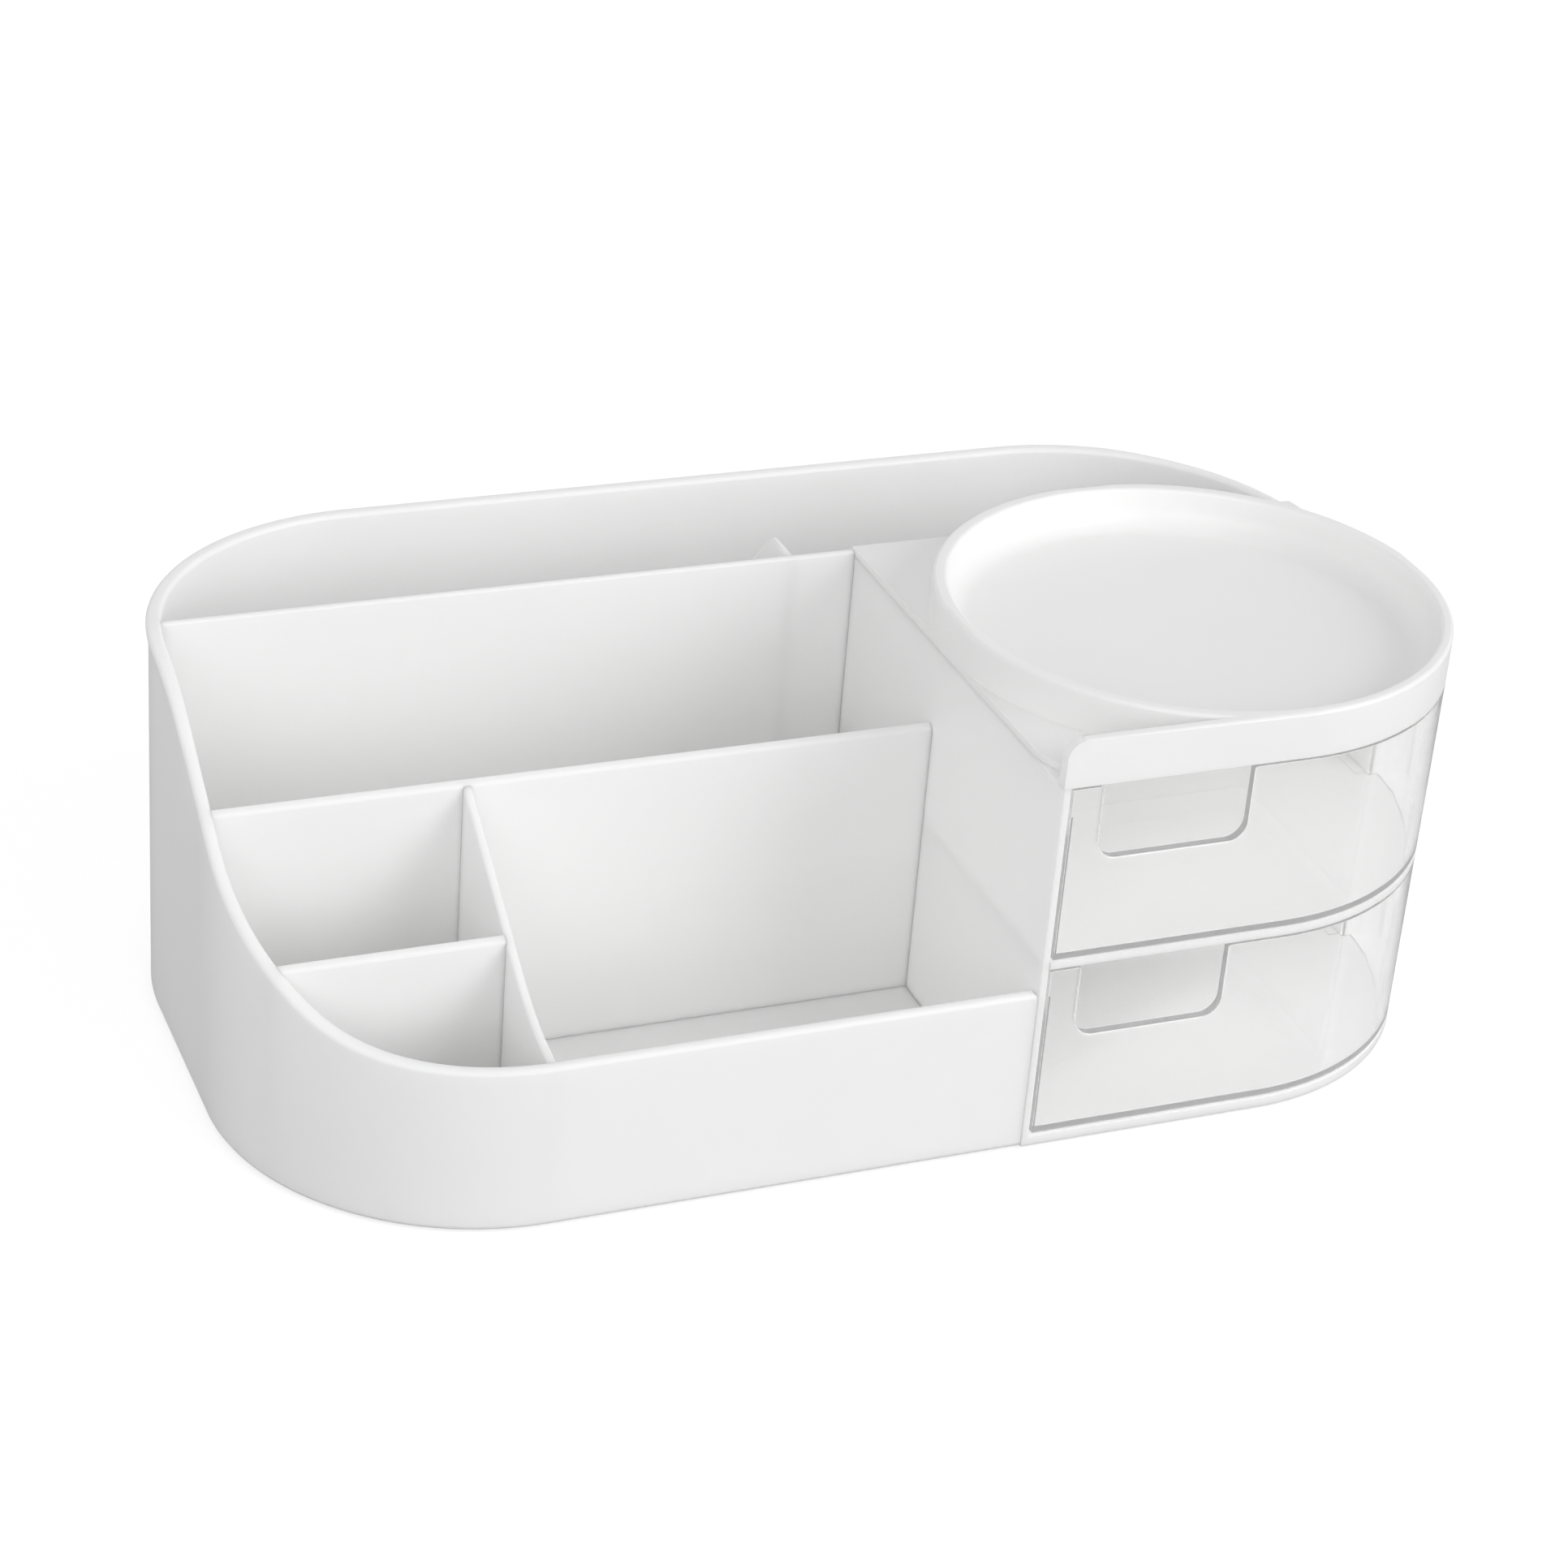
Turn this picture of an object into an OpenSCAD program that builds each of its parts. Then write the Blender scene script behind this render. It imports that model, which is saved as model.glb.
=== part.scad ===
// Makeup organizer: an open caddy with partitions beside a two-drawer cabinet with a round dish on top.
// Millimetres, +Z up, front towards -Y. The origin is on the table, under the middle of the footprint.

/* [Body] */
// Width of the whole organizer, left to right
body_w = 300; // [280:1:330]
// Depth of the whole organizer, front to back
body_d = 170; // [160:1:190]
// Height of the back rim and of the cabinet's deck above the table
rim_h = 96.5; // [90:0.5:110]
// Height of the low front rim above the table
front_h = 42; // [36:0.5:48]
// Thickness of the caddy's outer wall
wall_t = 3; // [2:0.1:4]
// Thickness of the caddy's floor
floor_t = 2.5; // [2:0.1:4]

/* [Swept rim] */
// Steepest angle of the side rim, in degrees
sweep_angle = 31.5; // [28:0.5:36]
// Radius of the hollow curve at the foot of the sweep
sweep_low_r = 50; // [30:1:60]
// Radius of the round curve at the head of the sweep
sweep_high_r = 60; // [40:1:70]

/* [Partitions] */
// Thickness of every partition
partition_t = 2; // [1.5:0.1:3]
// Depth of the groove in the floor that each partition stands in
groove_depth = 0.8; // [0.5:0.1:1.2]
// Gap between a partition's edges and what it meets
partition_gap = 0.15; // [0.1:0.05:0.25]
// Middle of the long middle partition, from the front face
middle_y = 69; // [60:1:78]
// Middle of the short partition, from the front face
short_y = 35; // [28:1:42]
// Middle of the front-to-back partition, from the left face
cross_x = 63; // [50:1:80]
// Middle of the back slot's partition, from the cabinet's left face
slot_in = 16.5; // [6:0.5:40]
// Level stretch on top of the slot's partition, before its slope
slot_level = 10; // [6:1:16]
// Height of the slot's partition at its back end, above the table
slot_low_h = 60; // [50:1:70]

/* [Cabinet] */
// Width and depth of the square drawer cabinet
cabinet_w = 122.5; // [116:0.5:126]
// Thickness of the cabinet's left wall
side_t = 1.8; // [1.5:0.1:2.5]
// Thickness of the cabinet's back wall
back_t = 2; // [1.5:0.1:3]
// Thickness of the cabinet's base
base_t = 2.8; // [2:0.1:4]
// Thickness of the shelf between the drawers
shelf_t = 1.8; // [1.5:0.1:2.5]
// Seam between the caddy and the cabinet
seam = 0.3; // [0.2:0.05:0.5]
// Width of the ledges that carry the shelf
ledge_w = 0.7; // [0.5:0.1:0.8]
// Height of the ledges that carry the shelf
ledge_h = 3; // [2:0.5:4]

/* [Dish top] */
// Thickness of the deck over the drawers
deck_t = 1.6; // [1.2:0.1:2.5]
// Height of the dish's rim above the deck
dish_h = 10; // [8:0.5:14]
// Thickness of the dish's wall
dish_wall = 3; // [2:0.1:4]
// Radius between the dish's floor and its wall
dish_fillet = 6; // [3:0.5:7]
// How far the dish's wall reaches past the cabinet's faces, where it is cut flush with them
dish_flat = 0.6; // [0.4:0.1:1]
// Thickness of the straight front fence
fence_t = 3; // [2:0.1:4]
// Radius of the fence's upper left corner
fence_r = 4.5; // [2:0.5:7]
// Radius of the deck's front left corner
deck_corner_r = 14; // [8:0.5:18]
// Depth of the skirt that locates the deck inside the cabinet
skirt_h = 2; // [1.5:0.5:3]

/* [Drawers] */
// Thickness of a drawer's front
front_t = 2.5; // [2:0.1:3]
// Thickness of a drawer's sides, back and floor
tub_t = 1.3; // [1.2:0.1:2.5]
// Height of a drawer's sides above its floor's underside
tub_h = 36; // [30:0.5:38]
// Gap under and beside a drawer's front
front_gap = 0.6; // [0.5:0.1:1.5]
// Gap over a drawer's front
top_gap = 0.5; // [0.4:0.1:0.8]
// Gap between a drawer and the walls and base around it
slide_gap = 0.8; // [0.6:0.1:1]
// Gap under a drawer's runners
runner_gap = 0.2; // [0.15:0.05:0.3]
// Width of a drawer's runners
runner_w = 4; // [3:0.5:6]
// How far a drawer's runners end before its back
runner_short = 15; // [10:1:30]
// Middle of the finger notch, from the drawer's left edge
notch_in = 26.5; // [24:0.5:32]
// Width of the finger notch
notch_w = 37; // [30:1:42]
// Depth of the finger notch
notch_depth = 18.5; // [14:0.5:22]
// Radius of the finger notch's lower corners
notch_r = 4.5; // [3:0.5:9]
// Width of the stop behind a drawer and of the lip that it meets
stop_w = 30; // [20:1:36]
// Height of the lip that stops a drawer
stop_h = 2.4; // [2:0.1:3]
// How far a drawer slides out before its stop meets the lip
travel = 96; // [80:1:100]

/* [Feet] */
// Diameter of a foot pad
foot_d = 12; // [10:0.5:16]
// How far a foot pad stands out under the body
foot_proud = 0.5; // [0.4:0.1:1.5]
// How deep a foot pad sits in its recess
foot_sunk = 1.2; // [0.8:0.1:1.5]
// Gap round a foot pad in its recess
foot_gap = 0.1; // [0.05:0.05:0.2]
// Middle of a foot pad, in from the body's side faces
foot_side_in = 38; // [30:1:39]
// Middle of a front foot pad, in from the front face
foot_front_in = 38; // [30:1:45]

/* [Hidden] */
$fn = 96;

white = [0.95, 0.95, 0.95];
clear = [0.88, 0.9, 0.91, 0.45];
pad_grey = [0.75, 0.75, 0.75];

// Overshoot of a cutting shape, so that no two faces coincide
cut = 5;

// The corners are concentric with the dish, which fills the cabinet's width
corner_r = cabinet_w / 2;
left_x = -body_w / 2;
right_x = body_w / 2;
front_y = -body_d / 2;
back_y = body_d / 2;
cabinet_x = right_x - cabinet_w;
cabinet_y = front_y + cabinet_w;
dish_x = right_x - corner_r;
dish_y = front_y + corner_r;

// Levels
base_z = foot_proud;
floor_z = base_z + floor_t;
groove_z = floor_z - groove_depth;
bay_low_z = base_z + base_t;
deck_z = rim_h - deck_t;
bay_h = (deck_z - bay_low_z - shelf_t) / 2;
shelf_z = bay_low_z + bay_h;
bay_high_z = shelf_z + shelf_t;
dish_rim_z = rim_h + dish_h;

// The right wall starts where the drawers' curved fronts end
wrap_y = front_y + corner_r;
tub_left = cabinet_x + side_t + front_gap;
tub_right = wall_t + slide_gap;
tub_back = cabinet_y - back_t - ledge_w - slide_gap;
drawer_front_h = bay_h - front_gap - top_gap;
flat_front_x = (tub_left + dish_x) / 2;

// The stop lip hangs where the drawer's back wall meets it after its travel
lip_back_y = tub_back - tub_t - travel;

// The sweep leaves the front rim level, climbs at its angle and levels off at the back rim
sweep_a = [front_y + sweep_low_r * sin(sweep_angle), front_h + sweep_low_r * (1 - cos(sweep_angle))];
sweep_b_z = rim_h - sweep_high_r * (1 - cos(sweep_angle));
sweep_b = [sweep_a[0] + (sweep_b_z - sweep_a[1]) / tan(sweep_angle), sweep_b_z];
sweep_top_y = sweep_b[0] + sweep_high_r * sin(sweep_angle);

// Footprint of the body, drawn in from its outer face by inset
module footprint(inset = 0) {
    r = corner_r - inset;
    square([body_w - 2 * corner_r, body_d - 2 * inset], center = true);
    square([body_w - 2 * inset, body_d - 2 * corner_r], center = true);
    for (sx = [-1, 1], sy = [-1, 1])
        translate([sx * (body_w / 2 - corner_r), sy * (body_d / 2 - corner_r)])
            circle(r);
}

// Rectangle between two corners
module box_2d(low, high) {
    translate(low)
        square([high[0] - low[0], high[1] - low[1]]);
}

// Ground that the cabinet stands on, grown to the left and back by margin
module cabinet_ground(margin = 0) {
    box_2d([cabinet_x - margin, front_y - cut], [right_x + cut, cabinet_y + margin]);
}

// Everything above the swept rim, across the whole width
module above_sweep() {
    translate([left_x - cut, 0, 0])
        rotate([90, 0, 90])
            linear_extrude(body_w + 2 * cut)
                difference() {
                    union() {
                        polygon([
                            [front_y - cut, front_h], [front_y, front_h],
                            sweep_a, sweep_b,
                            [sweep_top_y, rim_h], [sweep_top_y, rim_h + sweep_low_r],
                            [front_y - cut, rim_h + sweep_low_r]
                        ]);
                        translate([front_y, front_h + sweep_low_r])
                            circle(sweep_low_r);
                    }
                    translate([sweep_top_y, rim_h - sweep_high_r])
                        circle(sweep_high_r);
                }
}

// Ground that a partition covers: a strip held inside the caddy's walls
module partition_ground(low, high, side_gap) {
    intersection() {
        footprint(wall_t + side_gap);
        box_2d(low, high);
    }
}

module back_ground(grow = 0) {
    partition_ground(
        [left_x, cabinet_y - partition_t - grow],
        [cabinet_x - seam - partition_gap + grow, cabinet_y + grow],
        partition_gap - grow
    );
}

module middle_ground(grow = 0) {
    y = front_y + middle_y;
    partition_ground(
        [left_x, y - partition_t / 2 - grow],
        [cabinet_x - seam - partition_gap + grow, y + partition_t / 2 + grow],
        partition_gap - grow
    );
}

module short_ground(grow = 0) {
    y = front_y + short_y;
    partition_ground(
        [left_x, y - partition_t / 2 - grow],
        [left_x + cross_x - partition_t / 2 - partition_gap + grow, y + partition_t / 2 + grow],
        partition_gap - grow
    );
}

module cross_ground(grow = 0) {
    x = left_x + cross_x;
    partition_ground(
        [x - partition_t / 2 - grow, front_y],
        [x + partition_t / 2 + grow, front_y + middle_y - partition_t / 2 - partition_gap + grow],
        partition_gap - grow
    );
}

module slot_ground(grow = 0) {
    x = cabinet_x - slot_in;
    partition_ground(
        [x - partition_t / 2 - grow, cabinet_y + partition_gap - grow],
        [x + partition_t / 2 + grow, back_y],
        partition_gap - grow
    );
}

// Place of a foot pad: the back pads stand under the middle of the back slot
foot_back_in = (body_d - cabinet_w) / 2;
function foot_place(sx, sy) = [
    sx * (right_x - foot_side_in),
    sy > 0 ? back_y - foot_back_in : front_y + foot_front_in
];

module foot_recess(sx, sy) {
    translate(concat(foot_place(sx, sy), [base_z - cut]))
        cylinder(d = foot_d + 2 * foot_gap, h = cut + foot_sunk);
}

module foot_pad(sx, sy) {
    color(pad_grey)
        translate(concat(foot_place(sx, sy), [0]))
            cylinder(d = foot_d, h = foot_proud + foot_sunk);
}

// Outer wall and floor of the caddy, with the cabinet's corner left open
module caddy_shell() {
    color(white)
        difference() {
            translate([0, 0, base_z])
                linear_extrude(rim_h - base_z)
                    difference() {
                        footprint();
                        cabinet_ground(seam);
                    }
            translate([0, 0, floor_z])
                linear_extrude(rim_h)
                    difference() {
                        footprint(wall_t);
                        // The back slot ends against the cabinet's back wall
                        box_2d([cabinet_x, front_y], [right_x, cabinet_y + seam]);
                    }
            above_sweep();
            translate([0, 0, groove_z])
                linear_extrude(cut) {
                    back_ground(partition_gap);
                    middle_ground(partition_gap);
                    short_ground(partition_gap);
                    cross_ground(partition_gap);
                    slot_ground(partition_gap);
                }
            foot_recess(-1, -1);
            foot_recess(-1, 1);
            foot_recess(1, 1);
        }
}

module back_partition() {
    color(white)
        translate([0, 0, groove_z])
            linear_extrude(rim_h - groove_z)
                back_ground();
}

module middle_partition() {
    color(white)
        difference() {
            translate([0, 0, groove_z])
                linear_extrude(rim_h - groove_z)
                    middle_ground();
            above_sweep();
        }
}

module short_partition() {
    color(white)
        difference() {
            translate([0, 0, groove_z])
                linear_extrude(rim_h - groove_z)
                    short_ground();
            above_sweep();
        }
}

module cross_partition() {
    color(white)
        difference() {
            translate([0, 0, groove_z])
                linear_extrude(rim_h - groove_z)
                    cross_ground();
            above_sweep();
        }
}

// Panel across the back slot: level beside the back partition, then sloping down to the back wall
module slot_partition() {
    slope_y = cabinet_y + slot_level;
    color(white)
        difference() {
            translate([0, 0, groove_z])
                linear_extrude(rim_h - groove_z)
                    slot_ground();
            translate([left_x, 0, 0])
                rotate([90, 0, 90])
                    linear_extrude(body_w)
                        polygon([
                            [slope_y, rim_h + cut], [slope_y, rim_h],
                            [back_y, slot_low_h], [back_y, rim_h + cut]
                        ]);
        }
}

// Base, left, back and right walls of the drawer cabinet, open at the front and the top
module cabinet_frame() {
    color(white)
        difference() {
            translate([0, 0, base_z])
                linear_extrude(deck_z - base_z)
                    intersection() {
                        footprint();
                        cabinet_ground();
                    }
            translate([0, 0, bay_low_z])
                linear_extrude(rim_h)
                    union() {
                        intersection() {
                            footprint(wall_t);
                            box_2d([cabinet_x + side_t, front_y], [right_x, cabinet_y - back_t]);
                        }
                        box_2d([cabinet_x + side_t, front_y - cut], [right_x + cut, wrap_y]);
                    }
            foot_recess(1, -1);
        }
    color(white)
        shelf_ledges();
}

// Ledges along the left, right and back walls that carry the shelf
module shelf_ledges() {
    translate([0, 0, shelf_z - ledge_h])
        linear_extrude(ledge_h)
            difference() {
                intersection() {
                    footprint(wall_t);
                    box_2d([cabinet_x + side_t, wrap_y], [right_x, cabinet_y - back_t]);
                }
                intersection() {
                    footprint(wall_t + ledge_w);
                    box_2d([cabinet_x + side_t + ledge_w, front_y], [right_x, cabinet_y - back_t - ledge_w]);
                }
            }
}

// Lip under a shelf or the deck that a drawer's back wall meets
module stop_lip(under_z) {
    translate([flat_front_x - stop_w / 2, lip_back_y - tub_t, under_z - stop_h])
        cube([stop_w, tub_t, stop_h]);
}

// Shelf between the drawers, flush with their fronts, resting on the ledges
module drawer_shelf() {
    color(white) {
        translate([0, 0, shelf_z])
            linear_extrude(shelf_t)
                union() {
                    intersection() {
                        footprint(wall_t + partition_gap);
                        box_2d(
                            [cabinet_x + side_t + partition_gap, front_y + front_t],
                            [right_x, cabinet_y - back_t - partition_gap]
                        );
                    }
                    intersection() {
                        footprint();
                        box_2d(
                            [cabinet_x + side_t + partition_gap, front_y],
                            [right_x, wrap_y - partition_gap]
                        );
                    }
                }
        stop_lip(shelf_z);
    }
}

// Deck over the cabinet with the dish's round wall and the straight fence beside it
module dish_top() {
    color(white) {
        difference() {
            translate([0, 0, deck_z])
                linear_extrude(dish_rim_z - deck_z)
                    deck_ground();
            translate([0, 0, rim_h])
                linear_extrude(dish_h + cut)
                    beside_dish();
            translate([dish_x, dish_y, rim_h])
                rotate_extrude()
                    dish_space_profile();
            fence_corner();
        }
        translate([0, 0, deck_z - skirt_h])
            linear_extrude(skirt_h)
                deck_skirt();
        stop_lip(deck_z);
    }
}

// What is cleared outside the round upper left corner of the fence
module fence_corner() {
    round_x = cabinet_x + fence_r;
    round_z = dish_rim_z - fence_r;
    translate([0, front_y + fence_t + cut, 0])
        rotate([90, 0, 0])
            linear_extrude(fence_t + 2 * cut)
                difference() {
                    box_2d([cabinet_x - cut, round_z], [round_x, dish_rim_z + cut]);
                    translate([round_x, round_z])
                        circle(fence_r);
                }
}

// Plan of what is cleared above the deck, beside the dish's wall and the fence
module beside_dish() {
    difference() {
        box_2d([cabinet_x - cut, front_y - cut], [right_x + cut, cabinet_y + cut]);
        translate([dish_x, dish_y])
            circle(corner_r + dish_flat);
        box_2d([cabinet_x - 2 * cut, front_y - 2 * cut], [dish_x, front_y + fence_t]);
    }
}

// Plan of the deck: the cabinet's square with its front left corner rounded inside the fence
module deck_ground() {
    round_x = cabinet_x + deck_corner_r;
    round_y = front_y + fence_t + deck_corner_r;
    intersection() {
        footprint();
        difference() {
            box_2d([cabinet_x, front_y], [right_x, cabinet_y]);
            difference() {
                box_2d([cabinet_x - cut, front_y + fence_t], [round_x, round_y]);
                translate([round_x, round_y])
                    circle(deck_corner_r);
            }
        }
    }
}

// Low rib under the deck, inside the cabinet's left and back walls
module deck_skirt() {
    low = cabinet_x + side_t + partition_gap;
    high = cabinet_y - back_t - partition_gap;
    difference() {
        box_2d([low, wrap_y], [dish_x, high]);
        box_2d([low + ledge_w, wrap_y - cut], [dish_x + cut, high - ledge_w]);
    }
}

// Half section of the space in the dish, rounded where the floor meets the wall
module dish_space_profile() {
    inner = corner_r - dish_wall;
    square([inner - dish_fillet, dish_h + cut]);
    translate([0, dish_fillet])
        square([inner, dish_h + cut - dish_fillet]);
    translate([inner - dish_fillet, dish_fillet])
        circle(dish_fillet);
}

// Plan of a drawer: its curved front outside the cabinet's right wall, its tub inside it
module drawer_plan() {
    intersection() {
        footprint();
        box_2d([tub_left, front_y], [right_x, wrap_y - slide_gap]);
    }
    intersection() {
        footprint(tub_right);
        box_2d([tub_left, front_y + front_t], [right_x, tub_back]);
    }
}

// Plan of the space inside a drawer
module drawer_space() {
    intersection() {
        footprint(front_t);
        box_2d([tub_left + tub_t, front_y], [right_x, wrap_y - slide_gap - tub_t]);
    }
    intersection() {
        footprint(tub_right + tub_t);
        box_2d([tub_left + tub_t, front_y + front_t], [right_x, tub_back - tub_t]);
    }
}

// Plan of the curved front alone
module front_plan() {
    intersection() {
        difference() {
            footprint();
            footprint(front_t);
        }
        box_2d([tub_left, front_y - cut], [right_x + cut, wrap_y - slide_gap]);
    }
}

// Notch with rounded lower corners, cut through the front from its top edge
module finger_notch(top_z) {
    translate([tub_left + notch_in, front_y + front_t + cut / 2, top_z])
        rotate([90, 0, 0])
            linear_extrude(front_t + cut) {
                translate([-notch_w / 2, notch_r - notch_depth])
                    square([notch_w, notch_depth]);
                translate([notch_r - notch_w / 2, -notch_depth])
                    square([notch_w - 2 * notch_r, notch_depth]);
                for (s = [-1, 1])
                    translate([s * (notch_w / 2 - notch_r), notch_r - notch_depth])
                        circle(notch_r);
            }
}

// One drawer in the bay whose floor is at bay_z
module drawer(bay_z) {
    low_z = bay_z + front_gap;
    top_z = low_z + drawer_front_h;
    color(clear)
        difference() {
            union() {
                translate([0, 0, low_z])
                    linear_extrude(tub_h)
                        drawer_plan();
                translate([0, 0, low_z])
                    linear_extrude(drawer_front_h)
                        front_plan();
                // Stop in the middle of the back wall
                translate([flat_front_x - stop_w / 2, tub_back - tub_t, low_z])
                    cube([stop_w, tub_t, drawer_front_h - top_gap]);
                // Runners under the floor
                for (x = [tub_left, right_x - tub_right - runner_w])
                    translate([x, wrap_y, bay_z + runner_gap])
                        cube([runner_w, tub_back - runner_short - wrap_y, front_gap]);
            }
            translate([0, 0, low_z + tub_t])
                linear_extrude(bay_h)
                    drawer_space();
            finger_notch(top_z);
        }
}

module upper_drawer() {
    drawer(bay_high_z);
}

module lower_drawer() {
    drawer(bay_low_z);
}

module foot_front_left() {
    foot_pad(-1, -1);
}

module foot_back_left() {
    foot_pad(-1, 1);
}

module foot_front_right() {
    foot_pad(1, -1);
}

module foot_back_right() {
    foot_pad(1, 1);
}

caddy_shell();
back_partition();
middle_partition();
short_partition();
cross_partition();
slot_partition();
cabinet_frame();
drawer_shelf();
dish_top();
upper_drawer();
lower_drawer();
foot_front_left();
foot_back_left();
foot_front_right();
foot_back_right();
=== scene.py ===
import math

import bmesh
import bpy
from mathutils import Matrix, Vector


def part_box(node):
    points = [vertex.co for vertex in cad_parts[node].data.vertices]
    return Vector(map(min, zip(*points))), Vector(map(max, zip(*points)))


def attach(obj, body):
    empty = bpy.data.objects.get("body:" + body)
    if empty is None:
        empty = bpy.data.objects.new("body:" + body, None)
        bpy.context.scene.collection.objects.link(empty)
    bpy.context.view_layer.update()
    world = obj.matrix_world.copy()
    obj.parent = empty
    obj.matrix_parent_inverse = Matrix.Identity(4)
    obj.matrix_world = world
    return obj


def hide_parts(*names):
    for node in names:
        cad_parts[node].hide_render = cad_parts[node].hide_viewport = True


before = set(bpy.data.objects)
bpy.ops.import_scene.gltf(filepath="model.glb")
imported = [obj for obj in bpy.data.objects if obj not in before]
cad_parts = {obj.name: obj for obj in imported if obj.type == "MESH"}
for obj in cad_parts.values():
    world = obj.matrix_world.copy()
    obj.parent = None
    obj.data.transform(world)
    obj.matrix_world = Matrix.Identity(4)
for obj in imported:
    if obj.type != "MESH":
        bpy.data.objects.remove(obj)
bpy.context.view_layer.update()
mm = 0.001
tiny = 0.01 * mm     # places nearer than this are one
hair = 0.002 * mm    # shorter edges are dropped
scene = bpy.context.scene
scene.view_settings.view_transform = 'Standard'

# places read from the frame
bodyLow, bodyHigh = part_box("caddy_shell")
cabinetLow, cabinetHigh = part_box("cabinet_frame")
cornerRadius = (cabinetHigh.x - cabinetLow.x) / 2
frontY, backY = bodyLow.y, bodyHigh.y
undersideZ, rimZ = bodyLow.z, bodyHigh.z
coreX, coreY = bodyHigh.x - cornerRadius, backY - cornerRadius    # middles of the plan's round corners
print("frame loaded", len(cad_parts), "nodes")


# camera at the photograph's angle
camera = {
    "place": Vector((-326.12, -734.28, 496.13)) * mm,
    "heading": 23.82,    # degrees from +Y towards +X
    "down": 28.83,
    "roll": 4.76,
    "lens": 88.05,
    "sensor": 36.0,
    "nearest": 0.01,
}


def addCamera(values):
    data = bpy.data.cameras.new("photoCamera")
    data.sensor_fit = 'HORIZONTAL'
    data.sensor_width = values["sensor"]
    data.lens = values["lens"]
    data.clip_start = values["nearest"]
    eye = bpy.data.objects.new("photoCamera", data)
    heading = Matrix.Rotation(math.radians(-values["heading"]), 4, 'Z')
    tilt = Matrix.Rotation(math.radians(90 - values["down"]), 4, 'X')
    roll = Matrix.Rotation(math.radians(values["roll"]), 4, 'Z')
    eye.matrix_world = Matrix.Translation(values["place"]) @ heading @ tilt @ roll
    scene.collection.objects.link(eye)
    scene.camera = eye


addCamera(camera)
print("camera placed")


# materials
noiseLow, noiseHigh = 0.3, 0.7    # most of a noise lies between these


def startMaterial(name):
    material = bpy.data.materials.new(name)
    material.use_nodes = True
    tree = material.node_tree
    return material, tree, tree.nodes["Principled BSDF"]


def addNoise(tree, scale, detail=2.0):
    coords = tree.nodes.new('ShaderNodeTexCoord')
    noise = tree.nodes.new('ShaderNodeTexNoise')
    noise.inputs["Scale"].default_value = scale
    noise.inputs["Detail"].default_value = detail
    tree.links.new(coords.outputs["Object"], noise.inputs["Vector"])
    return noise


def addRange(tree, source, low, high):
    spread = tree.nodes.new('ShaderNodeMapRange')
    spread.inputs["From Min"].default_value = noiseLow
    spread.inputs["From Max"].default_value = noiseHigh
    spread.inputs["To Min"].default_value = low
    spread.inputs["To Max"].default_value = high
    tree.links.new(source, spread.inputs["Value"])
    return spread.outputs["Result"]


def addBump(tree, source, strength, distance):
    bump = tree.nodes.new('ShaderNodeBump')
    bump.inputs["Strength"].default_value = strength
    bump.inputs["Distance"].default_value = distance
    tree.links.new(source, bump.inputs["Height"])
    return bump.outputs["Normal"]


def addTint(tree, source, low, high):
    ramp = tree.nodes.new('ShaderNodeValToRGB')
    ramp.color_ramp.elements[0].position = noiseLow
    ramp.color_ramp.elements[0].color = (*low, 1)
    ramp.color_ramp.elements[1].position = noiseHigh
    ramp.color_ramp.elements[1].color = (*high, 1)
    tree.links.new(source, ramp.inputs["Fac"])
    return ramp.outputs["Color"]


def addCloud(tree, shader, values):
    cloud = addNoise(tree, values["cloud"], values["cloudDetail"]).outputs["Fac"]
    tint = addTint(tree, cloud, values["low"], values["high"])
    tree.links.new(tint, shader.inputs["Base Color"])
    tree.links.new(addRange(tree, cloud, *values["roughness"]), shader.inputs["Roughness"])


def addGrain(tree, shader, values):
    grain = addNoise(tree, values["grain"])
    normal = addBump(tree, grain.outputs["Fac"], values["grainStrength"], values["grainDepth"])
    tree.links.new(normal, shader.inputs["Normal"])


def addEither(tree, first, second):
    path = tree.nodes.new('ShaderNodeLightPath')
    either = tree.nodes.new('ShaderNodeMath')
    either.operation = 'MAXIMUM'
    tree.links.new(path.outputs[first], either.inputs[0])
    tree.links.new(path.outputs[second], either.inputs[1])
    return either.outputs[0]


whitePlastic = {
    "low": (0.92, 0.92, 0.917),     # the faint cloudiness of moulded white
    "high": (0.94, 0.94, 0.937),
    "roughness": (0.33, 0.40),
    "cloud": 25.0,
    "cloudDetail": 4.0,
    "refraction": 1.49,
    "grain": 2600.0,
    "grainStrength": 0.05,
    "grainDepth": 0.05 * mm,
    "glowThrough": 0.8,          # thin walls let light through
    "glowDepth": 2.6 * mm,
}
thickPlastic = {**whitePlastic, "glowThrough": 0.25}    # the dish wall is too thick to glow much


def makeWhitePlastic(name, values):
    material, tree, shader = startMaterial(name)
    addCloud(tree, shader, values)
    addGrain(tree, shader, values)
    shader.inputs["IOR"].default_value = values["refraction"]
    shader.inputs["Subsurface Weight"].default_value = values["glowThrough"]
    shader.inputs["Subsurface Radius"].default_value = (1, 1, 1)
    shader.inputs["Subsurface Scale"].default_value = values["glowDepth"]
    return material


clearPlastic = {
    "low": (0.99, 0.99, 0.99),
    "high": (0.996, 0.996, 0.996),
    "roughness": (0.015, 0.05),
    "cloud": 18.0,
    "cloudDetail": 3.0,
    "refraction": 1.49,
    "clearness": 0.87,
    "passes": (0.996, 0.996, 0.996),
}


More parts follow.
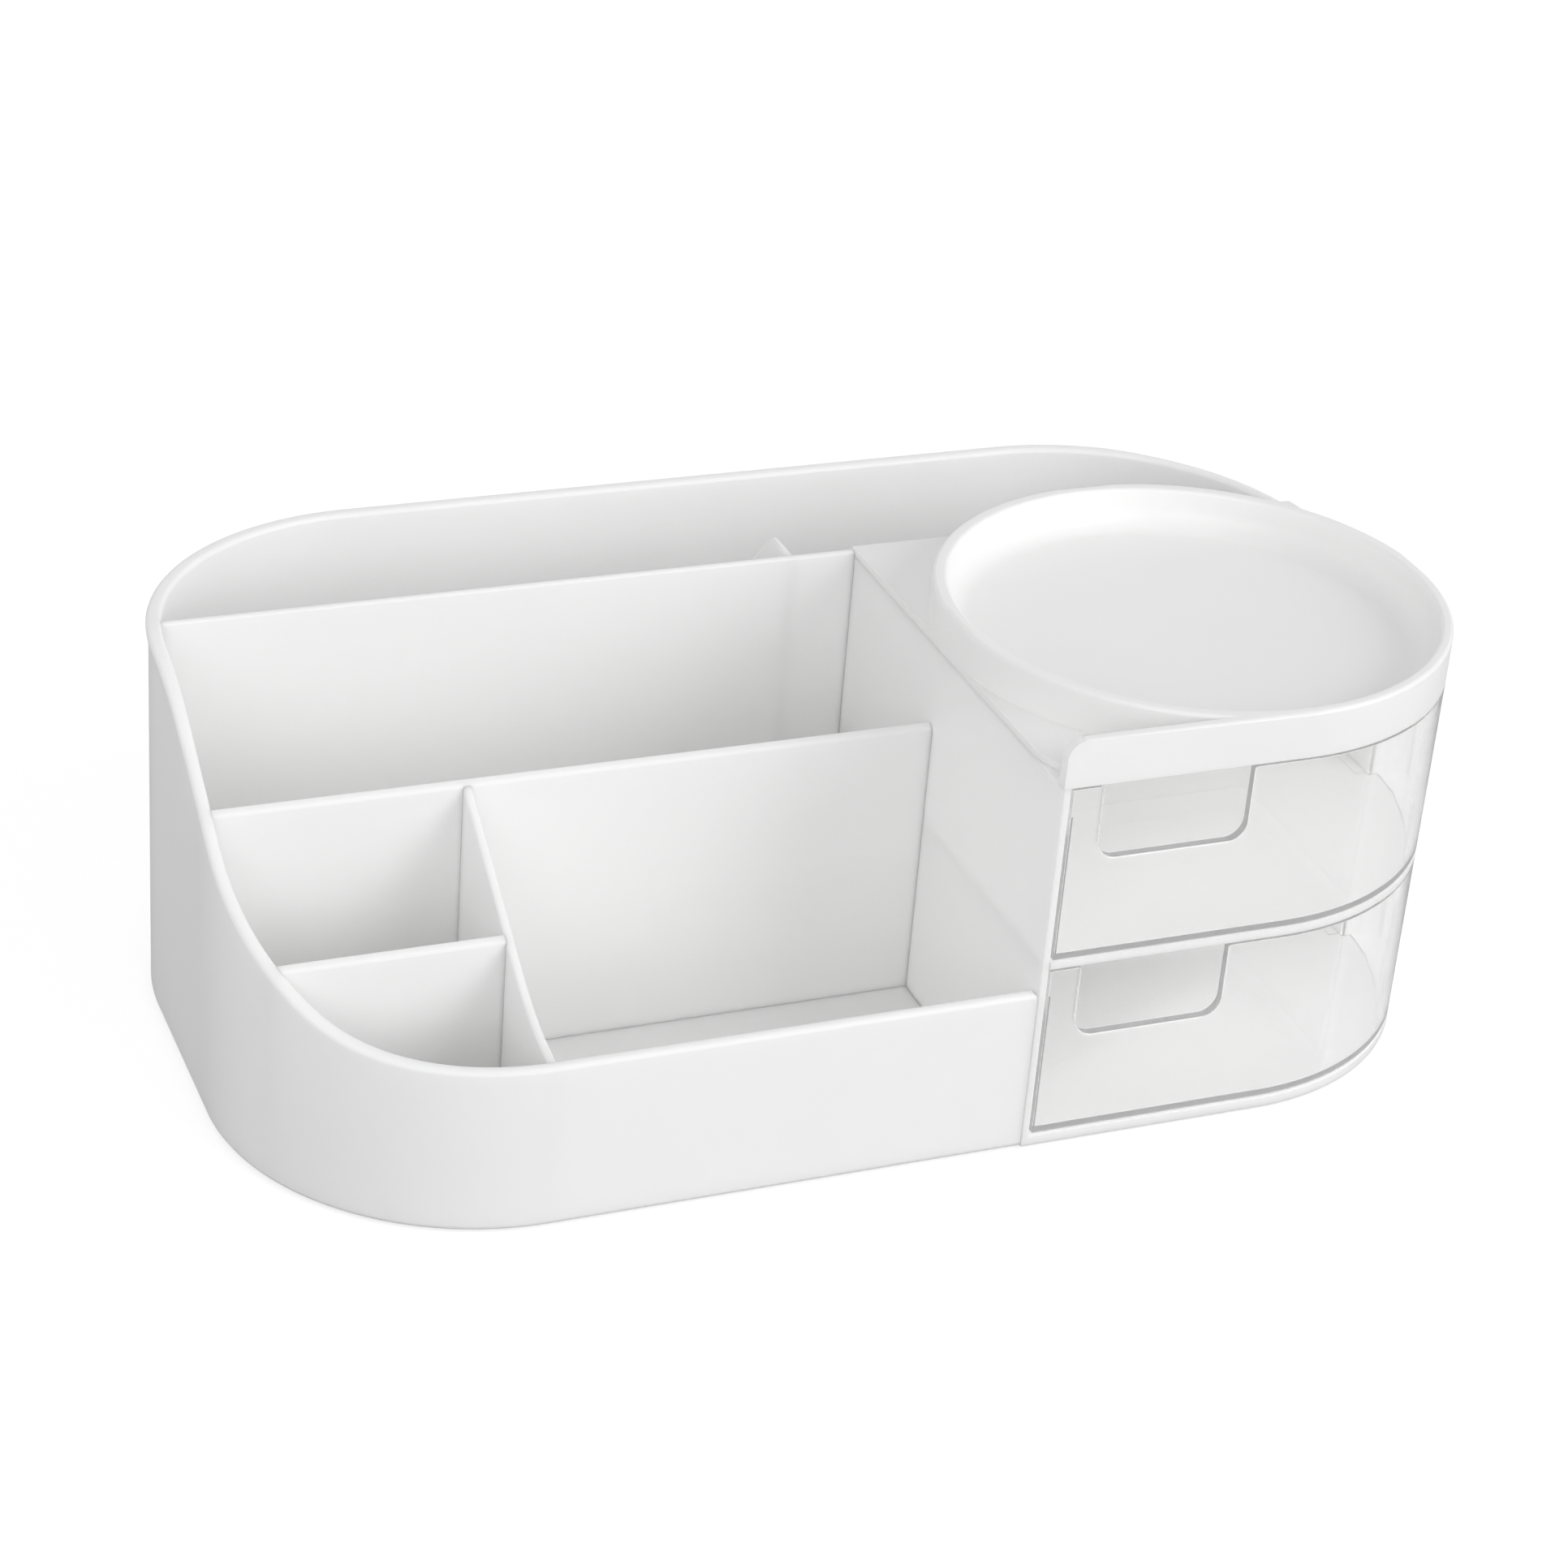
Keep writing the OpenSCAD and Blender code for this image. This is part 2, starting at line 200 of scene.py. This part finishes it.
def makeClearPlastic(values):
    material, tree, shader = startMaterial("clearDrawerPlastic")
    addCloud(tree, shader, values)
    shader.inputs["Transmission Weight"].default_value = values["clearness"]
    shader.inputs["IOR"].default_value = values["refraction"]
    through = tree.nodes.new('ShaderNodeBsdfTransparent')    # lamps and soft light pass the thin walls
    through.inputs["Color"].default_value = (*values["passes"], 1)
    both = tree.nodes.new('ShaderNodeMixShader')
    tree.links.new(addEither(tree, "Is Shadow Ray", "Is Diffuse Ray"), both.inputs[0])
    tree.links.new(shader.outputs[0], both.inputs[1])
    tree.links.new(through.outputs[0], both.inputs[2])
    tree.links.new(both.outputs[0], tree.nodes["Material Output"].inputs["Surface"])
    return material


footRubber = {
    "low": (0.50, 0.50, 0.49),
    "high": (0.56, 0.56, 0.55),
    "roughness": (0.7, 0.85),
    "cloud": 120.0,
    "cloudDetail": 4.0,
    "grain": 1500.0,
    "grainStrength": 0.2,
    "grainDepth": 0.1 * mm,
}


def makeFootRubber(values):
    material, tree, shader = startMaterial("softFootRubber")
    addCloud(tree, shader, values)
    addGrain(tree, shader, values)
    return material


finishes = {
    "white_plastic": makeWhitePlastic("satinWhitePlastic", whitePlastic),
    "thick_plastic": makeWhitePlastic("thickWhitePlastic", thickPlastic),
    "clear_plastic": makeClearPlastic(clearPlastic),
    "foot_rubber": makeFootRubber(footRubber),
}
print("materials made", len(finishes))


# shared modelling steps
shadeAngle = math.radians(40)    # sharper edges are shaded as creases
sharpAngle = math.radians(50)    # sharper edges are rounded
flatAngle = math.radians(0.4)    # flatter edges of a copied solid are merged


def finishPiece(bm, name, node, body, slot, finish=None):
    bmesh.ops.dissolve_degenerate(bm, dist=hair, edges=bm.edges)
    bmesh.ops.recalc_face_normals(bm, faces=bm.faces)
    for face in bm.faces:
        face.smooth = True
    mesh = bpy.data.meshes.new(name)
    bm.to_mesh(mesh)
    bm.free()
    mesh.set_sharp_from_angle(angle=shadeAngle)
    mesh.materials.append(finishes[finish or slot])
    piece = bpy.data.objects.new(name, mesh)
    scene.collection.objects.link(piece)
    weighted = piece.modifiers.new("evenShading", 'WEIGHTED_NORMAL')
    weighted.keep_sharp = True
    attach(piece, body)
    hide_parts(node)
    return piece


def copyOfNode(node):
    bm = bmesh.new()
    bm.from_mesh(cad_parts[node].data)
    bmesh.ops.remove_doubles(bm, verts=bm.verts, dist=hair)
    bmesh.ops.dissolve_limit(bm, angle_limit=flatAngle, verts=bm.verts, edges=bm.edges)
    return bm


def sharpEdges(bm):
    return [e for e in bm.edges if len(e.link_faces) == 2 and e.calc_face_angle(0) > sharpAngle]


def near(a, b):
    return abs(a - b) < tiny


def allVerts(edge, test):
    return all(test(v.co) for v in edge.verts)


def roundEdges(bm, edges, width, segments=3, clamp=True):
    bmesh.ops.bevel(
        bm, geom=edges, offset=width, offset_type='OFFSET', affect='EDGES',
        segments=segments, profile=0.5, material=-1, clamp_overlap=clamp, loop_slide=True,
    )


# swept rim: hollow curve at the front, straight climb, round curve at the back
sweptRim = {
    "frontHeight": 42.0 * mm,
    "angle": math.radians(31.5),
    "lowRadius": 50.0 * mm,
    "highRadius": 60.0 * mm,
}


def rimHeight(y):
    slope = sweptRim["angle"]
    low, high, front = sweptRim["lowRadius"], sweptRim["highRadius"], sweptRim["frontHeight"]
    bendY = frontY + low * math.sin(slope)
    bendZ = front + low * (1 - math.cos(slope))
    crestZ = rimZ - high * (1 - math.cos(slope))
    crestY = bendY + (crestZ - bendZ) / math.tan(slope)
    levelY = crestY + high * math.sin(slope)
    if y < bendY:
        return front + low - math.sqrt(low ** 2 - (y - frontY) ** 2)
    if y < crestY:
        return bendZ + (y - bendY) * math.tan(slope)
    if y < levelY:
        return rimZ - high + math.sqrt(high ** 2 - (levelY - y) ** 2)
    return rimZ


# caddy: one wall section carried round the plan by extrude and spin, then closed by the floor
caddy = {
    "wall": 3.0 * mm,
    "floor": 2.5 * mm,
    "seam": 0.3 * mm,
    "lip": 0.8 * mm,          # the rim leans out a little where it stands at full height
    "lipDepth": 5.0 * mm,
    "lipFade": 14.0 * mm,
    "lipEnd": 130.0 * mm,
    "rimRound": 1.2 * mm,
    "floorRound": 3.0 * mm,
    "underRound": 1.5 * mm,
    "roundSteps": 5,
    "underSteps": 4,
    "cornerSteps": 40,
    "sideSteps": 24,
    "longSteps": 6,
}
floorZ = undersideZ + caddy["floor"]


def chainOf(bm, points):
    verts = [bm.verts.new(p) for p in points]
    return [bm.edges.new(pair) for pair in zip(verts, verts[1:])]


def extrudeSection(bm, edges, move, steps):
    for _ in range(steps):
        grown = bmesh.ops.extrude_edge_only(bm, edges=edges)["geom"]
        newVerts = {g for g in grown if isinstance(g, bmesh.types.BMVert)}
        bmesh.ops.translate(bm, verts=list(newVerts), vec=move / steps)
        edges = [g for g in grown if isinstance(g, bmesh.types.BMEdge) and newVerts.issuperset(g.verts)]
    return edges


def spinSection(bm, edges, centre, turn, steps):
    verts = list({v for e in edges for v in e.verts})
    last = bmesh.ops.spin(
        bm, geom=verts + edges, cent=centre, axis=(0, 0, 1),
        angle=turn, steps=steps, use_duplicate=False,
    )["geom_last"]
    return [g for g in last if isinstance(g, bmesh.types.BMEdge)]


def sweepWall(bm, values, startX, endY):
    inner, outer = frontY + values["wall"], frontY
    edges = chainOf(bm, [
        (startX, inner, floorZ), (startX, inner, rimZ), (startX, outer, rimZ),
        (startX, outer, rimZ - values["lipDepth"]), (startX, outer, undersideZ),
    ])
    quarter = -math.pi / 2
    edges = extrudeSection(bm, edges, Vector((-coreX - startX, 0, 0)), values["longSteps"])
    edges = spinSection(bm, edges, (-coreX, -coreY, 0), quarter, values["cornerSteps"])
    edges = extrudeSection(bm, edges, Vector((0, 2 * coreY, 0)), values["sideSteps"])
    edges = spinSection(bm, edges, (-coreX, coreY, 0), quarter, values["cornerSteps"])
    edges = extrudeSection(bm, edges, Vector((2 * coreX, 0, 0)), values["longSteps"])
    past = endY - coreY
    last = spinSection(bm, edges, (coreX, coreY, 0), -math.acos(past / cornerRadius), values["cornerSteps"])
    for v in {v for e in last for v in e.verts}:    # the wall's end is cut square behind the cabinet
        radius = math.hypot(v.co.x - coreX, v.co.y - coreY)
        v.co.x, v.co.y = coreX + math.sqrt(radius ** 2 - past ** 2), endY


def outwardOf(co):
    core = Vector((max(-coreX, min(coreX, co.x)), max(-coreY, min(coreY, co.y)), co.z))
    return co - core


def leanRim(bm, values):
    for v in bm.verts:
        drop = rimZ - v.co.z
        if drop > values["lipDepth"] + tiny:
            continue
        height = rimHeight(v.co.y)
        outward = outwardOf(v.co)
        v.co.z = height - drop
        if drop < tiny and outward.length > cornerRadius - tiny:
            high = max(0.0, 1 - (rimZ - height) / values["lipFade"])
            side = max(0.0, min(1.0, (values["lipEnd"] - v.co.x) / values["lipFade"]))
            v.co += outward.normalized() * values["lip"] * high * side


def closeCaddy(bm, startX, endY):
    levels = (floorZ, undersideZ)
    corners = [bm.verts.new((startX, endY, z)) for z in levels]
    for corner, z in zip(corners, levels):
        for end in [v for v in bm.verts if near(v.co.z, z) and len(v.link_edges) == 2]:
            bm.edges.new((end, corner))
    bm.edges.new(corners)
    loops = (
        lambda co: near(co.z, floorZ),
        lambda co: near(co.z, undersideZ),
        lambda co: near(co.x, startX),
        lambda co: near(co.y, endY) and co.x > startX - tiny,
    )
    for onLoop in loops:
        bmesh.ops.contextual_create(bm, geom=[e for e in bm.edges if allVerts(e, onLoop)])


def makeCaddy(values):
    bm = bmesh.new()
    startX = cabinetLow.x - values["seam"]
    endY = cabinetHigh.y + values["seam"]
    sweepWall(bm, values, startX, endY)
    closeCaddy(bm, startX, endY)
    leanRim(bm, values)
    bmesh.ops.recalc_face_normals(bm, faces=bm.faces)

    def onWall(edge):
        atSide = allVerts(edge, lambda co: near(co.x, startX))
        atBack = allVerts(edge, lambda co: near(co.y, endY))
        return not (atSide or atBack)

    rim = [e for e in sharpEdges(bm) if allVerts(e, lambda co: abs(co.z - rimHeight(co.y)) < values["lip"])]
    roundEdges(bm, rim, values["rimRound"], values["roundSteps"])
    fillet = [e for e in sharpEdges(bm) if onWall(e) and allVerts(e, lambda co: near(co.z, floorZ))]
    roundEdges(bm, fillet, values["floorRound"], values["roundSteps"])
    under = [e for e in sharpEdges(bm) if onWall(e) and allVerts(e, lambda co: near(co.z, undersideZ))]
    roundEdges(bm, under, values["underRound"], values["underSteps"])
    finishPiece(bm, "caddyWall", "caddy_shell", "body", "white_plastic")
    print("caddy made")


makeCaddy(caddy)


# partitions: panels sunk a little into the floor and walls, with rounded tops just under the rim
partition = {
    "sunk": 0.6 * mm,
    "below": 0.5 * mm,
    "topRound": 0.7 * mm,
    "roundSteps": 4,
    "upward": 0.5,    # least rise of a normal that faces up
    "curveSteps": 32,
    "slopeStart": 10.0 * mm,
    "slopeEnd": 60.0 * mm,
}


def startPanel(node, values):
    low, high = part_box(node)
    along = 0 if high.x - low.x > high.y - low.y else 1
    low[along] -= values["sunk"]
    high[along] += values["sunk"]
    low.z = floorZ - values["sunk"]
    bm = bmesh.new()
    bmesh.ops.create_cube(bm, size=1)
    bmesh.ops.scale(bm, verts=bm.verts, vec=high - low)
    bmesh.ops.translate(bm, verts=bm.verts, vec=(high + low) / 2)
    return bm, low, high


def cutAcross(bm, y):
    everything = bm.verts[:] + bm.edges[:] + bm.faces[:]
    bmesh.ops.bisect_plane(bm, geom=everything, plane_co=(0, y, 0), plane_no=(0, 1, 0))


def shapeTop(bm, top, heightAt):
    for v in bm.verts:
        if near(v.co.z, top):
            v.co.z = heightAt(v.co.y)


def finishPanel(bm, node, values):
    bmesh.ops.recalc_face_normals(bm, faces=bm.faces)

    def besideTop(edge):
        return any(f.normal.z > values["upward"] for f in edge.link_faces)

    edges = [e for e in sharpEdges(bm) if besideTop(e)]
    roundEdges(bm, edges, values["topRound"], values["roundSteps"])
    finishPiece(bm, node + "_panel", node, "body", "white_plastic")


def makePartitions(values):
    def underRim(y):
        return rimHeight(y) - values["below"]

    for node in ("back_partition", "middle_partition", "short_partition"):
        bm, _, high = startPanel(node, values)
        shapeTop(bm, high.z, underRim)
        finishPanel(bm, node, values)

    bm, low, high = startPanel("cross_partition", values)
    for i in range(1, values["curveSteps"]):
        cutAcross(bm, low.y + (high.y - low.y) * i / values["curveSteps"])
    shapeTop(bm, high.z, underRim)
    finishPanel(bm, "cross_partition", values)

    bm, _, high = startPanel("slot_partition", values)
    slopeY = cabinetHigh.y + values["slopeStart"]
    fall = (rimZ - values["slopeEnd"]) / (backY - slopeY)
    cutAcross(bm, slopeY)
    shapeTop(bm, high.z, lambda y: rimZ - values["below"] - fall * max(0.0, y - slopeY))
    finishPanel(bm, "slot_partition", values)
    print("partitions made")


makePartitions(partition)


# cabinet, shelf, dish and drawers: their solids with every edge rounded as the mould leaves it
dishTop = {"rimRound": 1.0 * mm, "rimSteps": 4, "edgeRound": 0.35 * mm}
cabinet = {"edgeRound": 0.35 * mm}
drawer = {
    "edgeRound": 0.25 * mm,
    "notchRound": 0.8 * mm,
    "notchSteps": 4,
    "notchStart": 8.0 * mm,    # the finger notch lies between these two, from the drawer's left edge
    "notchEnd": 45.0 * mm,
    "front": 2.5 * mm,
    "floorTop": 1.7 * mm,
    "floorThin": 0.6 * mm,
}
foot = {"edgeRound": 0.4 * mm}


def makeDish(values):
    bm = copyOfNode("dish_top")
    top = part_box("dish_top")[1].z
    rim = [e for e in sharpEdges(bm) if allVerts(e, lambda co: near(co.z, top))]
    roundEdges(bm, rim, values["rimRound"], values["rimSteps"], clamp=False)
    roundEdges(bm, sharpEdges(bm), values["edgeRound"])
    finishPiece(bm, "dishTop", "dish_top", "body", "white_plastic", "thick_plastic")
    print("dish made")


def makeRounded(node, name, body, slot, width):
    bm = copyOfNode(node)
    roundEdges(bm, sharpEdges(bm), width)
    finishPiece(bm, name, node, body, slot)
    print(name, "made")


def makeDrawer(node, values):
    bm = copyOfNode(node)
    low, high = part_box(node)
    inside = [v for v in bm.verts if near(v.co.z, low.z + values["floorTop"])]
    bmesh.ops.translate(bm, verts=inside, vec=(0, 0, -values["floorThin"]))    # thin floor, thin dark edge
    left, right = low.x + values["notchStart"] - tiny, low.x + values["notchEnd"] + tiny

    def onNotch(co):
        return left < co.x < right and co.y < low.y + values["front"] + tiny and co.z > (low.z + high.z) / 2

    notch = [e for e in sharpEdges(bm) if allVerts(e, onNotch)]
    roundEdges(bm, notch, values["notchRound"], values["notchSteps"])
    roundEdges(bm, [e for e in sharpEdges(bm) if not allVerts(e, onNotch)], values["edgeRound"])
    finishPiece(bm, node + "_clear", node, node, "clear_plastic")
    print(node, "made")


makeDish(dishTop)
makeRounded("cabinet_frame", "cabinetFrame", "body", "white_plastic", cabinet["edgeRound"])
makeRounded("drawer_shelf", "drawerShelf", "body", "white_plastic", cabinet["edgeRound"])
for level in ("upper_drawer", "lower_drawer"):
    makeDrawer(level, drawer)
for corner in ("front_left", "back_left", "front_right", "back_right"):
    makeRounded("foot_" + corner, "footPad_" + corner, "body", "foot_rubber", foot["edgeRound"])


# floor and light
studio = {
    "floorSize": 6.0,
    "floorSquares": 8,
    "floorRoughness": 0.9,
    "floorColour": (0.54, 0.54, 0.54),
    "floorGlow": 0.63,
    "horizon": 0.87,
    "zenith": 0.5,
    "backdrop": 1.0,
    "bounces": 6,
    "clearBounces": 24,
    "aim": Vector((0, 0, 0.05)),
}
lamps = {
    "key": {"place": Vector((2.15, -2.25, 1.53)), "size": 2.2, "power": 43.8},
    "fill": {"place": Vector((-1.76, -2.46, 1.76)), "size": 2.2, "power": 20.5},
}


def makeFloor(values):
    bm = bmesh.new()
    squares = values["floorSquares"]
    bmesh.ops.create_grid(bm, x_segments=squares, y_segments=squares, size=values["floorSize"] / 2)
    mesh = bpy.data.meshes.new("paperFloor")
    bm.to_mesh(mesh)
    bm.free()
    floor = bpy.data.objects.new("paperFloor", mesh)
    scene.collection.objects.link(floor)
    material, tree, shader = startMaterial("paperFloor")
    shader.inputs["Base Color"].default_value = (*values["floorColour"], 1)
    shader.inputs["Roughness"].default_value = values["floorRoughness"]
    shader.inputs["Specular IOR Level"].default_value = 0.0
    glow = tree.nodes.new('ShaderNodeEmission')
    level = tree.nodes.new('ShaderNodeMath')
    level.operation = 'MULTIPLY'
    level.inputs[1].default_value = values["floorGlow"]
    both = tree.nodes.new('ShaderNodeAddShader')
    tree.links.new(addEither(tree, "Is Camera Ray", "Is Transmission Ray"), level.inputs[0])
    tree.links.new(level.outputs[0], glow.inputs["Strength"])
    tree.links.new(shader.outputs[0], both.inputs[0])
    tree.links.new(glow.outputs[0], both.inputs[1])
    tree.links.new(both.outputs[0], tree.nodes["Material Output"].inputs["Surface"])
    mesh.materials.append(material)


def makeWorld(values):
    world = bpy.data.worlds.new("studioWorld")
    scene.world = world
    world.use_nodes = True
    tree = world.node_tree
    sky = tree.nodes["Background"]
    sky.inputs["Color"].default_value = (1, 1, 1, 1)
    coords = tree.nodes.new('ShaderNodeTexCoord')
    up = tree.nodes.new('ShaderNodeSeparateXYZ')
    fade = tree.nodes.new('ShaderNodeMapRange')    # paler walls than ceiling
    fade.inputs["To Min"].default_value = values["horizon"]
    fade.inputs["To Max"].default_value = values["zenith"]
    level = tree.nodes.new('ShaderNodeMapRange')
    level.inputs["To Max"].default_value = values["backdrop"]
    tree.links.new(coords.outputs["Generated"], up.inputs[0])
    tree.links.new(up.outputs["Z"], fade.inputs["Value"])
    tree.links.new(fade.outputs["Result"], level.inputs["To Min"])
    tree.links.new(addEither(tree, "Is Camera Ray", "Is Transmission Ray"), level.inputs["Value"])
    tree.links.new(level.outputs["Result"], sky.inputs["Strength"])


def addAreaLamp(name, place, power, size):
    data = bpy.data.lights.new(name, 'AREA')
    data.shape = 'RECTANGLE'
    data.size, data.size_y = size
    data.energy = power
    lamp = bpy.data.objects.new(name, data)
    lamp.location = place
    scene.collection.objects.link(lamp)
    return lamp


def makeLamp(name, values):
    lamp = addAreaLamp(name, values["place"], values["power"], (values["size"], values["size"]))
    aim = studio["aim"] - values["place"]
    lamp.rotation_euler = aim.to_track_quat('-Z', 'Y').to_euler()


# soft light under the deck and under the shelf, where the thin white sheets glow
bayGlow = {
    "inset": 12.0 * mm,
    "below": 0.4 * mm,
    "shelfThick": 1.8 * mm,
    "upperPower": 0.0078,
    "lowerPower": 0.0126,
}


def makeBayGlow(name, sheet, ceiling, power, values):
    low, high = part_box(sheet)
    middle = (low + high) / 2
    size = (high.x - low.x - 2 * values["inset"], high.y - low.y - 2 * values["inset"])
    lamp = addAreaLamp(name, (middle.x, middle.y, ceiling - values["below"]), power, size)
    lamp.visible_camera = False
    lamp.visible_glossy = False
    lamp.visible_transmission = False


scene.cycles.max_bounces = studio["clearBounces"]
scene.cycles.diffuse_bounces = studio["bounces"]
scene.cycles.transmission_bounces = studio["clearBounces"]
scene.cycles.transparent_max_bounces = studio["clearBounces"]
makeFloor(studio)
makeWorld(studio)
for name, values in lamps.items():
    makeLamp(name + "Softbox", values)
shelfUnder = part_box("drawer_shelf")[1].z - bayGlow["shelfThick"]
makeBayGlow("upperBayGlow", "dish_top", cabinetHigh.z, bayGlow["upperPower"], bayGlow)
makeBayGlow("lowerBayGlow", "drawer_shelf", shelfUnder, bayGlow["lowerPower"], bayGlow)
print("studio lit")
